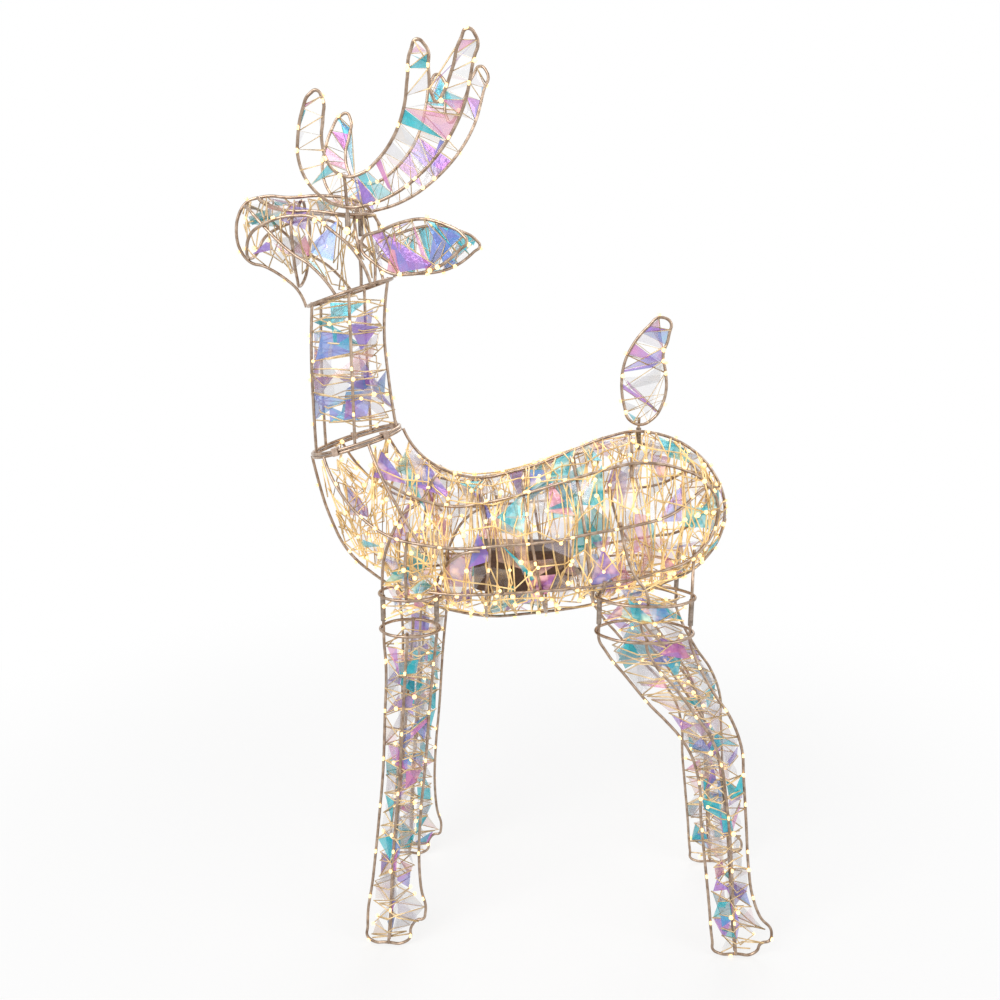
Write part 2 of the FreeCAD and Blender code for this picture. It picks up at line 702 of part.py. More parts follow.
# Neck clips ----------------------------------------------------------------
def neck_clip(angle):
    """A clip closed round the neck's ring and open downwards over the body's ring."""
    bore = wire_radius + clip_clearance
    width = 2 * (bore + clip_wall)
    body = Part.makeBox(width, clip_length, ring_lift + 2 * bore + clip_wall,
                        Vector(-width / 2, -clip_length / 2, -ring_lift - bore))
    hole = Part.makeCylinder(bore, clip_length, Vector(0, -clip_length / 2, 0), Vector(0, 1, 0))
    slot = Part.makeBox(2 * bore, clip_length, ring_lift + bore,
                        Vector(-bore, -clip_length / 2, -ring_lift - bore))
    seat = Part.makeCylinder(bore, clip_length, Vector(0, -clip_length / 2, -ring_lift), Vector(0, 1, 0))
    clip = body.cut(slot.fuse(hole).fuse(seat)).removeSplitter()
    clip.rotate(Vector(0, 0, 0), Vector(0, 0, 1), angle)
    clip.rotate(Vector(0, 0, 0), Vector(0, 1, 0), -neck_ring_tilt)
    clip.translate(on_ring(neck_base_middle, neck_ring_radius, neck_ring_tilt, angle))
    return clip


parts["neck_clips"] = [neck_clip(angle) for angle in (40, 105, -105, -40)]

# Control box ---------------------------------------------------------------
bar_places = (-15.0, 28.0)
box_floor = bar_height * height_scale + wire_radius + weld_gap + rail_clearance
box_x = box_middle_x * length_scale


def carrier_bar(x):
    """A bar hung between the lower rails, lying on them and dipping under the box."""
    rest = nearest(side_loop_left, at(x, -91, 530))[0]
    over = rest.z + lap
    low = bar_height * height_scale
    edge = box_width / 2
    half = [Vector(x * length_scale, rest.y - 5, over), Vector(x * length_scale, rest.y + 3, over),
            Vector(x * length_scale, -edge - 22, (over + low) / 2 + 2),
            Vector(x * length_scale, -edge - 3, low)]
    middle = Vector(x * length_scale, 0, low)
    return route(half + [middle] + mirrored(half))


wires("carrier_bars", *[carrier_bar(x) for x in bar_places])


def rounded_block(length, width, height, corner, foot):
    block = Part.makeBox(length, width, height, Vector(foot.x - length / 2, foot.y - width / 2, foot.z))
    upright = [edge for edge in block.Edges
               if abs(edge.tangentAt(edge.FirstParameter).z) > 0.99]
    return block.makeFillet(corner, upright)


inner_length = box_length - 2 * box_wall
inner_width = box_width - 2 * box_wall
inner_corner = box_corner - box_wall
screw_places = [Vector(box_x + sx * (box_length / 2 - box_corner), sy * (box_width / 2 - screw_edge), 0)
                for sx in (-1, 1) for sy in (-1, 1)]
board_top = box_floor + board_rise
gland_start = Vector(box_x + box_length / 2, gland_side, box_floor + gland_rise)
thread_radius = lead_bore / 2 + 1.5


def controller_base():
    """Lower half: a tray with screw posts, board posts and feet that grip the carrier bars."""
    floor = Vector(box_x, 0, box_floor)
    tray = rounded_block(box_length, box_width, box_split, box_corner, floor)
    tray = tray.cut(rounded_block(inner_length, inner_width, box_split, inner_corner,
                                  floor + Vector(0, 0, box_wall)))
    for place in screw_places:
        foot = place + Vector(0, 0, box_floor + box_wall)
        post = Part.makeCylinder(screw_post, box_split - box_wall, foot)
        bore_foot = foot + Vector(0, 0, box_split - box_wall - 14)
        bore = Part.makeCylinder(screw_diameter / 2 + screw_fit, 14, bore_foot)
        tray = tray.fuse(post).cut(bore)
    for sx in (-1, 1):
        foot = Vector(box_x + sx * 30, 0, box_floor + box_wall)
        tray = tray.fuse(Part.makeCylinder(3, board_top - board_thickness - foot.z, foot))
    for x in bar_places:
        for y in (-18, 18):
            low = box_floor - foot_width / 2 - 2
            foot = Part.makeBox(foot_width, foot_width, box_floor - low,
                                Vector(x * length_scale - foot_width / 2, y - foot_width / 2, low))
            bore = wire_radius + weld_gap
            groove = Part.makeBox(2 * bore, foot_width, bar_height * height_scale - low,
                                  Vector(x * length_scale - bore, y - foot_width / 2, low))
            seat = Vector(x * length_scale, y - foot_width / 2, bar_height * height_scale)
            crown = Part.makeCylinder(bore, foot_width, seat, Vector(0, 1, 0))
            tray = tray.fuse(foot.cut(groove.fuse(crown)))
    gland_hole = Part.makeCylinder(thread_radius + 0.1, 12, gland_start - Vector(6, 0, 0), Vector(1, 0, 0))
    return tray.cut(gland_hole).removeSplitter()


button_x = box_x - 26.0
cover_top = box_floor + box_height
cover_underside = cover_top - box_wall
flange_bottom = cover_underside - flange_gap - flange_thickness


def controller_cover():
    """Upper half: a lid with screw holes and the button's hole."""
    floor = Vector(box_x, 0, box_floor + box_split)
    lid = rounded_block(box_length, box_width, box_height - box_split, box_corner, floor)
    lid = lid.makeFillet(3, [e for e in lid.Edges if abs(e.CenterOfMass.z - cover_top) < 0.01])
    hollow = box_height - box_split - box_wall
    lid = lid.cut(rounded_block(inner_length, inner_width, hollow, inner_corner, floor))
    for place in screw_places:
        foot = place + Vector(0, 0, box_floor + box_split)
        lid = lid.fuse(Part.makeCylinder(screw_post, box_height - box_split - 1, foot))
        lid = lid.cut(Part.makeCylinder(screw_diameter / 2 + screw_fit, box_height, foot))
        sink = Vector(place.x, place.y, cover_top - 3)
        lid = lid.cut(Part.makeCylinder(screw_head / 2 + 2 * screw_fit, 4, sink))
    hole_foot = Vector(button_x, 0, cover_top - 6)
    hole = Part.makeCylinder(button_diameter / 2 + button_clearance, 10, hole_foot)
    return lid.cut(hole).removeSplitter()


def cover_screw(place):
    head = Part.makeCylinder(screw_head / 2, 2.2, Vector(place.x, place.y, cover_top - 3))
    shank = Part.makeCylinder(screw_diameter / 2, box_height - box_split + 8,
                              Vector(place.x, place.y, box_floor + box_split - 10))
    slot_corner = Vector(place.x - screw_head / 2, place.y - 0.4, cover_top - 1.6)
    slot = Part.makeBox(screw_head, 0.8, 0.8, slot_corner)
    return head.fuse(shank).cut(slot).removeSplitter()


def circuit_board():
    corner = Vector(box_x - board_length / 2, -board_width / 2, board_top - board_thickness)
    return Part.makeBox(board_length, board_width, board_thickness, corner)


def board_components():
    """Transformer, capacitor, chip and the switch that the button presses."""
    switch_height = flange_bottom - button_travel - flange_gap - board_top
    return [
        Part.makeBox(26, 22, 18, Vector(box_x + 12, -11, board_top)),
        Part.makeCylinder(5, 16, Vector(box_x - 4, 10, board_top)),
        Part.makeBox(12, 6, 2, Vector(box_x - 12, -14, board_top)),
        Part.makeBox(7, 7, switch_height, Vector(button_x - 3.5, -3.5, board_top)),
    ]


def mode_button():
    """Round cap with a flange under the cover, pressed straight down."""
    button_top = cover_top + button_stand
    foot = Vector(button_x, 0, cover_underside - flange_gap)
    cap = Part.makeCylinder(button_diameter / 2, button_top - foot.z, foot)
    cap = cap.makeFillet(0.8, [edge for edge in cap.Edges if abs(edge.CenterOfMass.z - button_top) < 0.01])
    flange_foot = Vector(button_x, 0, flange_bottom)
    flange = Part.makeCylinder(button_diameter / 2 + 1.5, flange_thickness, flange_foot)
    return cap.fuse(flange).removeSplitter()


def lead_gland():
    """Threaded gland on the rear end of the box, where the supply lead enters."""
    along = Vector(1, 0, 0)
    start = gland_start + along * weld_gap
    nut = Part.makeCylinder(gland_diameter / 2, 8, start, along)
    nose = Part.makeCone(gland_diameter / 2 - 1.5, thread_radius, 6, start + along * 8, along)
    thread = Part.makeCylinder(thread_radius, box_wall + 3, start - along * (box_wall + 3), along)
    bore = Part.makeCylinder(lead_bore / 2, 40, start - along * 15, along)
    return nut.fuse(nose).fuse(thread).cut(bore).removeSplitter()


parts["controller_base"] = [controller_base()]
parts["controller_cover"] = [controller_cover()]
parts["cover_screws"] = [cover_screw(place) for place in screw_places]
parts["circuit_board"] = [circuit_board()]
parts["board_components"] = board_components()
parts["mode_button"] = [mode_button()]
parts["lead_gland"] = [lead_gland()]

# Light beads ---------------------------------------------------------------
bulb_radius = bulb_diameter / 2
bulb_offset = wire_radius + bulb_radius + bulb_gap
all_routes = Part.makeCompound(routes)
solid_neighbours = Part.makeCompound(
    parts["leg_sleeves"] + parts["antler_sockets"] + parts["tail_socket"] + parts["neck_clips"])


def bulb_pattern():
    """A round-nosed bead that stands on the origin."""
    shoulder = bulb_length - bulb_radius
    slant = bulb_radius * math.sqrt(0.5)
    base = Vector(bulb_radius, 0, 0)
    rim = Vector(bulb_radius, 0, shoulder)
    tip = Vector(0, 0, bulb_length)
    profile = Part.Wire([
        Part.LineSegment(Vector(), base).toShape(), Part.LineSegment(base, rim).toShape(),
        Part.Arc(rim, Vector(slant, 0, shoulder + slant), tip).toShape(),
        Part.LineSegment(tip, Vector()).toShape()])
    return Part.Face(profile).revolve(Vector(), Vector(0, 0, 1), 360)


pattern = bulb_pattern()


def bulb(middle, along):
    """A round-nosed bead lying along its wire."""
    bead = pattern.copy()
    turn = FreeCAD.Rotation(Vector(0, 0, 1), along)
    bead.Placement = FreeCAD.Placement(middle - along * (bulb_length / 2), turn)
    return bead


def bulb_fits(middle, along):
    """True where the bead touches only the wire that carries it."""
    reach = along * (bulb_length / 2)
    core = Part.LineSegment(middle - reach, middle + reach).toShape()
    if core.distToShape(all_routes)[0] < bulb_offset - 0.1:
        return False
    return core.distToShape(solid_neighbours)[0] > bulb_radius + 0.5


def bulbs_on(path, pitch, outward, margin=12.0):
    """Beads along a wire at about a pitch, each on the side that outward gives."""
    count = max(1, int((path.Length - 2 * margin) / pitch))
    found = []
    spots = path.discretize(Number=int(path.Length) + 1)
    step = (len(spots) - 1 - 2 * margin) / count
    for number in range(count):
        index = int(margin + (number + 0.5) * step)
        for shift in (0, 4, -4, 8, -8, 12):
            here = spots[index + shift]
            along = (spots[index + shift + 1] - spots[index + shift - 1]).normalize()
            out = outward(here)
            out = out - along * out.dot(along)
            middle = here + out.normalize() * bulb_offset
            if bulb_fits(middle, along):
                found.append(bulb(middle, along))
                break
    return found


def away_from(centre):
    return lambda here: here - centre


def sideways(side):
    return lambda here: Vector(0, side, 0)


def round_axis(here):
    """Outwards from the middle of the trunk, which runs nearly level from chest to rump."""
    return Vector(0, here.y, here.z - (575 + 0.1 * here.x) * height_scale)


parts["lights_torso"] = (
    bulbs_on(spine_belly_loop, 60, away_from(body_middle)) + bulbs_on(mid_hoop, 55, round_axis)
    + bulbs_on(side_loop_left, 50, round_axis) + bulbs_on(side_loop_right, 50, round_axis)
    + [bead for path in (rib_front, rib_middle, rib_rear) for bead in bulbs_on(path, 58, round_axis)])
head_middle = at(-270, 0, 980)
parts["lights_head"] = (
    bulbs_on(head_profile, 60, away_from(head_middle)) + bulbs_on(cheek_loop, 60, away_from(head_middle))
    + bulbs_on(ear_left, 60, away_from(at(-115, -75, 965)))
    + bulbs_on(ear_right, 60, away_from(at(-115, 75, 965)))
    + [bead for path in neck_rails for bead in bulbs_on(path, 55, away_from(at(-216, 0, 810)))])
for side, name in ((-1, "left"), (1, "right")):
    parts["lights_antler_" + name] = bulbs_on(antler_loops[side], 62, sideways(side))
parts["lights_tail"] = bulbs_on(tail_loop, 60, away_from(at(172, tail_plane_y, 805)))
for name, (leg, side) in legs.items():
    on_loop = bulbs_on(leg_loops[name], 68, sideways(side), 40)
    on_strut = bulbs_on(leg_strut_paths[name][0], 80, sideways(side))
    parts["lights_" + name + "_leg"] = on_loop + on_strut

# Write one file for each node ----------------------------------------------
# The origin is on the ground, midway between the nose and the hind hooves.
whole = Part.makeCompound([solid for solids in parts.values() for solid in solids]).BoundBox
to_origin = Vector(-(whole.XMin + whole.XMax) / 2, 0, -whole.ZMin)

os.makedirs("parts", exist_ok=True)
for node, solids in parts.items():
    shape = solids[0] if len(solids) == 1 else Part.makeCompound(solids)
    shape.translate(to_origin)
    shape.exportStep("parts/" + node + ".step")
print("moved to the origin by", to_origin)
print(len(parts), "nodes", sum(len(solids) for solids in parts.values()), "solids")
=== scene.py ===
"""Looks of the light-up yard reindeer: painted wire, shimmering film, light leads and warm light beads."""
import json
import math
import random

import bpy
import numpy as np
from mathutils import Euler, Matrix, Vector
from mathutils.geometry import convex_hull_2d


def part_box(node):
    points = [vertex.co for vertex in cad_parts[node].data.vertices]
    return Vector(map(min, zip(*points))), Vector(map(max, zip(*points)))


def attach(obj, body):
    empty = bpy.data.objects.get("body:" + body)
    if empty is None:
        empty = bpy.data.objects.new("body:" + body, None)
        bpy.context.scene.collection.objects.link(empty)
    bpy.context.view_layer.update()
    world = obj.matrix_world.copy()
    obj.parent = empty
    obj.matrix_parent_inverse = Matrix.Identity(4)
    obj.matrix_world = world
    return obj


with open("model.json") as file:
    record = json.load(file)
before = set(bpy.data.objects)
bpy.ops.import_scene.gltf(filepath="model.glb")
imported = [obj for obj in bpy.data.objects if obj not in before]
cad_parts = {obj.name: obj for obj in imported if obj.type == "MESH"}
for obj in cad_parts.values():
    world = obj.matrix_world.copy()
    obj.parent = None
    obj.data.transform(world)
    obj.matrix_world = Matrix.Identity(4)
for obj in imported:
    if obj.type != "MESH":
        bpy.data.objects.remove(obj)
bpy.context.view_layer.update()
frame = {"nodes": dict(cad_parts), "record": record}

cad = frame["nodes"]
chance = random.Random(41)

AROUND = 48            # steps round a section of the cage
SLICE = 0.006          # distance between two sections, metres
WIDEST_SHARD = 0.05    # widest gap between two turns that film fills
FLOOR_WHITE = 0.72     # share of plain white in the floor under the deer; it is all white further out
FADE_START = 0.5       # metres from the deer
FADE_END = 1.5
LEAD_RADIUS = 0.0010   # twisted light lead
LEGS = ("front_left", "front_right", "hind_left", "hind_right")

# Reading the wires, metres
SAME_WIRE = 0.0075     # points of one section nearer to each other than this lie on one wire
LOOP_SPACING = 0.004   # between the cuts that find the middle line of a loop
LOOP_MARGIN = 0.003    # left out at each end of a loop, where a cut would run along the wire
SAME_POINT = 0.0015    # two cuts' points nearer than this count as one
LOOP_GAP = 0.014       # a point further than this from the last one is not on the loop
THIN_LOOP = 0.006      # a chord is longer than this
TINY = 1e-12

# Distances outwards from the middles of the cage's wires, metres
WOUND_LIFT = 0.0026    # wound leads
LANE_LIFT = 0.0044     # leads along the cage
LACE_LIFT = 0.0028     # leads laced across a loop
RUMP_LIFT = 0.003      # leads laced across the rump
LOOP_BEAD_LIFT = 0.0045  # beads on a loop, on either side of it
BEAD_LIFT = 0.002      # a bead, outwards from its lead

# Film and winding
BUCKLE = 0.0015        # how far a shard's middle leaves its plane, metres
SHRINK = (0.84, 0.98)  # size of a shard in its gap
BLUNT_SIDE = (0.03, 0.3)   # what is left of a shard's short side
LACE_SIDE = (0.05, 0.4)    # and of the short side between two laces
STRONG_BODY = (0.55, 0.95)  # opacity of a strongly coloured shard
PALE_BODY = (0.18, 0.5)     # and of a pale one
TINT_DRIFT = 0.05      # how far the tint of each triangle strays from its shard's
BLUNT_SHARE = 0.7      # share of the shards that are nearly triangles
BOX_SHARE = 0.25       # how much of the film is left beside the control box
STRAY_ROWS = 0.36      # a turn strays along the cage by this share of the pitch
STRAY_STEPS = 1.5      # and by this many steps round it
LANES = 12             # leads along the trunk
LANE_ROWS = 5          # rows of the skin between two corners of such a lead
LANE_MARGIN = 2        # rows left bare at each end
LANE_STRAY = 0.9       # spread of its corners, steps
LANE_BEADS = 0.4       # distance between its beads, as a share of that on the wound leads
STRAND_GROWTH = 0.15   # each strand's pitch is larger than the last's by this share of the first one's
LOOP_BEAD_EVERY = 0.11  # metres of lace between two beads
LOOP_COLOURFUL = 0.62  # share of strongly coloured shards in the ears, antlers and tail
LACE_REACH = 1.25      # laces further apart than this many widths are not joined
STRONG_TINTS = (0.04, 0.08, 0.10, 0.22, 0.32, 0.36, 0.46, 0.54)
PALE_TINTS = (0.62, 0.74, 0.80, 0.95)


# Materials -----------------------------------------------------------------
class Shader:
    """A material's node tree with short calls for its nodes."""

    def __init__(self, name):
        self.material = bpy.data.materials.new(name)
        self.material.use_nodes = True
        self.tree = self.material.node_tree
        self.base = self.tree.nodes["Principled BSDF"]

    def node(self, kind, **inputs):
        made = self.tree.nodes.new(kind)
        for key, value in inputs.items():
            made.inputs[key.replace("_", " ")].default_value = value
        return made

    def link(self, source, target):
        self.tree.links.new(source, target)

    def set(self, **values):
        for key, value in values.items():
            self.base.inputs[key.replace("_", " ")].default_value = value

    def noise(self, scale, detail=3.0):
        place = self.node("ShaderNodeTexCoord")
        made = self.node("ShaderNodeTexNoise", Scale=scale, Detail=detail)
        self.link(place.outputs["Object"], made.inputs["Vector"])
        return made.outputs["Fac"]

    def ramp(self, factor, stops):
        made = self.node("ShaderNodeValToRGB")
        band = made.color_ramp
        while len(band.elements) < len(stops):
            band.elements.new(0.5)
        for element, (place, colour) in zip(band.elements, stops):
            element.position = place
            element.color = (*colour, 1)
        self.link(factor, made.inputs["Fac"])
        return made.outputs["Color"]

    def spread(self, factor, low, high):
        made = self.node("ShaderNodeMapRange")
        made.inputs["To Min"].default_value = low
        made.inputs["To Max"].default_value = high
        self.link(factor, made.inputs["Value"])
        return made.outputs["Result"]

    def bump(self, factor, strength, distance):
        made = self.node("ShaderNodeBump", Strength=strength, Distance=distance)
        self.link(factor, made.inputs["Height"])
        self.link(made.outputs["Normal"], self.base.inputs["Normal"])


def mottled(name, scale, dark, light, bump, **values):
    """A surface whose colour and height vary gently between two shades."""
    shader = Shader(name)
    cloud = shader.noise(scale)
    shader.link(shader.ramp(cloud, [(0.3, dark), (0.7, light)]), shader.base.inputs["Base Color"])
    shader.bump(shader.noise(scale * 4), bump, 0.0004)
    shader.set(**values)
    return shader.material


FILM_COLOURS = [
    (0.00, (0.01, 0.38, 0.48)), (0.12, (0.02, 0.52, 0.60)), (0.22, (0.14, 0.28, 0.66)),
    (0.34, (0.34, 0.20, 0.62)), (0.46, (0.60, 0.18, 0.50)), (0.56, (0.76, 0.34, 0.46)),
    (0.64, (0.62, 0.44, 0.30)), (0.74, (0.50, 0.50, 0.52)), (1.00, (0.56, 0.50, 0.60)),
]


def film(name, glow):
    """Thin shimmering film: each shard has its own tint and opacity, drifting a little across it; warm
    emission in noise patches, as strong as glow, is painted glow from the beads.
    """
    shader = Shader(name)
    tint = shader.node("ShaderNodeAttribute")
    tint.attribute_name = "tint"
    drift = shader.spread(shader.noise(40.0, 2.0), -0.07, 0.07)
    both = shader.node("ShaderNodeMath")
    both.operation = "ADD"
    shader.link(tint.outputs["Fac"], both.inputs[0])
    shader.link(drift, both.inputs[1])
    colour = shader.ramp(both.outputs[0], FILM_COLOURS)
    shader.link(colour, shader.base.inputs["Base Color"])
    body = shader.node("ShaderNodeAttribute")
    body.attribute_name = "body"
    wave = shader.spread(shader.noise(90.0, 2.0), 0.75, 1.2)
    veil = shader.node("ShaderNodeMath")
    veil.operation = "MULTIPLY"
    shader.link(body.outputs["Fac"], veil.inputs[0])
    shader.link(wave, veil.inputs[1])
    shader.link(veil.outputs[0], shader.base.inputs["Alpha"])
    # Painted glow: warm emission in noise patches stands in for the beads' light spreading through the film.
    warm = shader.ramp(shader.noise(45.0, 2.0), [(0.5, (0.0, 0.0, 0.0)), (0.75, (1.0, 0.70, 0.34))])
    shader.link(warm, shader.base.inputs["Emission Color"])
    shader.bump(shader.noise(160.0, 2.0), 0.4, 0.002)
    shader.set(Metallic=0.25, Roughness=0.2, Emission_Strength=glow)
    return shader.material


def glowing(name, dark, pale, strength):
    """Clear sheathed lead: golden, with painted glow from its lights in warm emission patches."""
    shader = Shader(name)
    cloud = shader.noise(70.0)
    shader.link(shader.ramp(cloud, [(0.3, dark), (0.7, pale)]), shader.base.inputs["Base Color"])
    # Painted glow: warm emission in noise patches stands in for light from the beads on the lead.
    lit = shader.ramp(shader.noise(28.0, 2.0), [(0.42, (0.05, 0.03, 0.01)), (0.66, (1.0, 0.72, 0.32))])
    shader.link(lit, shader.base.inputs["Emission Color"])
    shader.bump(shader.noise(900.0), 0.3, 0.0003)
    shader.set(Metallic=0.3, Roughness=0.3, Emission_Strength=strength)
    return shader.material


def light(name, colour, strength):
    """A lit bead, from a given colour to a paler one."""
    shader = Shader(name)
    warm = shader.ramp(shader.noise(400.0), [(0.2, colour), (0.8, (1.0, 0.80, 0.44))])
    shader.link(warm, shader.base.inputs["Emission Color"])
    shader.link(warm, shader.base.inputs["Base Color"])
    shader.set(Emission_Strength=strength, Roughness=0.2)
    return shader.material


wire_paint = mottled("wire_paint", 120.0, (0.25, 0.17, 0.12), (0.54, 0.41, 0.31), 0.2,
                     Metallic=0.85, Roughness=0.28)
socket_paint = mottled("socket_paint", 200.0, (0.18, 0.14, 0.11), (0.42, 0.34, 0.28), 0.25,
                       Metallic=0.7, Roughness=0.42)
# Both leads carry painted glow: warm emission in noise patches, stronger on the golden leads of the trunk,
# shoulders and rump.
lead_painted_glow = glowing("lead_painted_glow", (0.46, 0.30, 0.15), (0.84, 0.66, 0.40), 0.28)
lead_golden_painted_glow = glowing("lead_golden_painted_glow", (0.56, 0.34, 0.12), (0.94, 0.70, 0.34), 0.55)
box_plastic = mottled("box_plastic", 350.0, (0.060, 0.030, 0.020), (0.115, 0.062, 0.040), 0.35,
                      Roughness=0.5)
board_green = mottled("board_green", 500.0, (0.02, 0.16, 0.08), (0.05, 0.28, 0.14), 0.3,
                      Roughness=0.35)
black_plastic = mottled("black_plastic", 500.0, (0.012, 0.012, 0.014), (0.04, 0.04, 0.045), 0.2,
                        Roughness=0.45)
screw_steel = mottled("screw_steel", 900.0, (0.42, 0.42, 0.44), (0.66, 0.66, 0.67), 0.2,
                      Metallic=1.0, Roughness=0.3)
button_plastic = mottled("button_plastic", 300.0, (0.52, 0.46, 0.38), (0.64, 0.58, 0.50), 0.1,
                         Roughness=0.28)
clip_plastic = mottled("clip_plastic", 300.0, (0.36, 0.25, 0.18), (0.60, 0.44, 0.34), 0.1,
                       Roughness=0.2, Coat_Weight=0.5)
bead_light = light("bead_light", (1.0, 0.56, 0.16), 1.6)
# Each film's emission strength is painted glow from the beads, strongest on the warm film of the trunk,
# shoulders and rump.
film_warm_painted_glow = film("film_warm_painted_glow", 0.8)
film_bright = film("film_bright", 0.10)
film_cool = film("film_cool", 0.06)

SLOT_MATERIALS = {
    "wire": wire_paint, "sleeve": socket_paint, "bulb": bead_light, "box": box_plastic,
    "board": board_green, "component": black_plastic, "screw": screw_steel, "button": button_plastic,
    "gland": black_plastic, "clip": clip_plastic,
}


def paint_cad_nodes():
    """Each CAD node keeps its mesh and takes the finish of its slot."""
    for entry in frame["record"]["subparts"]:
        node = cad[entry["node"]]
        finish = SLOT_MATERIALS[entry["material_slot"]]
        if not node.material_slots:
            node.data.materials.append(finish)
        for holder in node.material_slots:
            holder.material = finish


# Reading the cage ----------------------------------------------------------
edge_ends = {}


def ends_of(node):
    """Both ends of every mesh edge of a CAD node."""
    if node not in edge_ends:
        mesh = cad[node].data
        points = np.array([vertex.co[:] for vertex in mesh.vertices])
        pairs = np.array([edge.vertices[:] for edge in mesh.edges])
        edge_ends[node] = points[pairs[:, 0]], points[pairs[:, 1]]
    return edge_ends[node]


def wire_middles(names, axis, level, keep=None):
    """Middles of the wires that a level plane across an axis (0, 1 or 2) cuts."""
    found = []
    for name in names:
        start, end = ends_of(name)
        before = start[:, axis] - level
        after = end[:, axis] - level
        crossing = before * after < 0
        share = (before[crossing] / (before[crossing] - after[crossing]))[:, None]
        points = start[crossing] + (end[crossing] - start[crossing]) * share
        while len(points):
            close = np.linalg.norm(points - points[0], axis=1) < SAME_WIRE
            found.append(points[close].mean(axis=0))
            points = points[~close]
    if keep:
        found = [point for point in found if keep(point)]
    return found


def section(middles, axis):
    """The outline stretched round the wires of a section, at even angles, or None."""
    flat = [index for index in range(3) if index != axis]
    if len(middles) < 3:
        return None
    plane = [Vector((point[flat[0]], point[flat[1]])) for point in middles]
    hull = [middles[index] for index in convex_hull_2d(plane)]
    if len(hull) < 3:
        return None
    centre = np.mean(hull, axis=0)
    result = np.zeros((AROUND, 3))
    for step in range(AROUND):
        turn = 2 * math.pi * step / AROUND
        way = np.array([math.cos(turn), math.sin(turn)])
        reach = 0.0
        for number, first in enumerate(hull):
            second = hull[(number + 1) % len(hull)]
            a = first[flat] - centre[flat]
            b = second[flat] - centre[flat]
            cross = way[0] * (b - a)[1] - way[1] * (b - a)[0]
            if abs(cross) < TINY:
                continue
            distance = (a[0] * (b - a)[1] - a[1] * (b - a)[0]) / cross
            along = (a[0] * way[1] - a[1] * way[0]) / cross
            if distance > 0 and -1e-6 <= along <= 1 + 1e-6:
                reach = max(reach, distance)
        result[step] = centre
        result[step][flat] += way * reach
    return result


def skin(names, axis, low, high, keep=None):
    """Sections of the cage from low to high along an axis, as a grid of points."""
    rows = []
    for level in np.arange(low, high, SLICE if high > low else -SLICE):
        row = section(wire_middles(names, axis, level, keep), axis)
        if row is not None:
            rows.append(row)
    return np.array(rows)


def place_on(grid, row, turn):
    """Point and outward way of a skin at a row and a step round it."""
    row = min(max(row, 0.0), len(grid) - 1.001)
    low = int(row)
    part = row - low
    here = int(turn) % AROUND
    after = (here + 1) % AROUND
    rest = turn - math.floor(turn)
    ring = grid[low] * (1 - part) + grid[low + 1] * part
    point = ring[here] * (1 - rest) + ring[after] * rest
    across = ring[after] - ring[here]
    along = grid[low + 1][here] - grid[low][here]
    out = np.cross(across, along)
    size = np.linalg.norm(out)
    out = out / size if size > TINY else np.array([0.0, 0.0, 1.0])
    if out @ (point - ring.mean(axis=0)) < 0:
        out = -out
    return point, out


# Film and leads ------------------------------------------------------------
class Collector:
    """Points and faces that become one mesh."""

    def __init__(self):
        self.points = []
        self.faces = []

    def mesh(self, name):
        made = bpy.data.meshes.new(name)
        made.from_pydata([tuple(point) for point in self.points], [], self.faces)
        return made

    def smooth_mesh(self, name):
        made = self.mesh(name)
        made.shade_smooth()
        return made


class Patchwork(Collector):
    """Collects facets of film, each with a tint and an opacity, and makes one mesh of them."""

    def __init__(self):
        super().__init__()
        self.tints = []
        self.bodies = []

    def facet(self, corners, tint, sag, body):
        """A four-cornered facet, buckled in the middle, as four triangles."""
        first = len(self.points)
        middle = sum(corners) / 4 + sag
        self.points.extend([*corners, middle])
        for number in range(4):
            self.faces.append((first + number, first + (number + 1) % 4, first + 4))
            self.tints.append(min(1.0, max(0.0, tint + chance.uniform(-TINT_DRIFT, TINT_DRIFT))))
            self.bodies.append(body)

    def build(self, name, body, material):
        mesh = self.mesh(name)
        for label, values in (("tint", self.tints), ("body", self.bodies)):
            layer = mesh.attributes.new(label, "FLOAT", "FACE")
            layer.data.foreach_set("value", values)
        return placed(mesh, name, body, material)


class Leads(Collector):
    """Collects fine wires and makes one mesh of thin tubes."""

    SIDES = 5
    SLANT = (0.31, 0.22, 0.92)  # the tube's first side lies across this way

    def run(self, path):
        """Add a tube along a path."""
        path = [np.array(point) for point in path]
        if len(path) < 2:
            return
        rings = []
        for number, point in enumerate(path):
            along = path[min(number + 1, len(path) - 1)] - path[max(number - 1, 0)]
            along = along / (np.linalg.norm(along) + TINY)
            side = np.cross(along, self.SLANT)
            side = side / (np.linalg.norm(side) + TINY)
            up = np.cross(along, side)
            rings.append(len(self.points))
            for step in range(self.SIDES):
                turn = 2 * math.pi * step / self.SIDES
                self.points.append(point + (side * math.cos(turn) + up * math.sin(turn)) * LEAD_RADIUS)
        for first, second in zip(rings, rings[1:]):
            for step in range(self.SIDES):
                after = (step + 1) % self.SIDES
                self.faces.append((first + step, first + after, second + after, second + step))
        self.faces.append(tuple(range(rings[0] + self.SIDES - 1, rings[0] - 1, -1)))
        self.faces.append(tuple(range(rings[-1], rings[-1] + self.SIDES)))

    def build(self, name, body, material=lead_painted_glow):
        return placed(self.smooth_mesh(name), name, body, material)


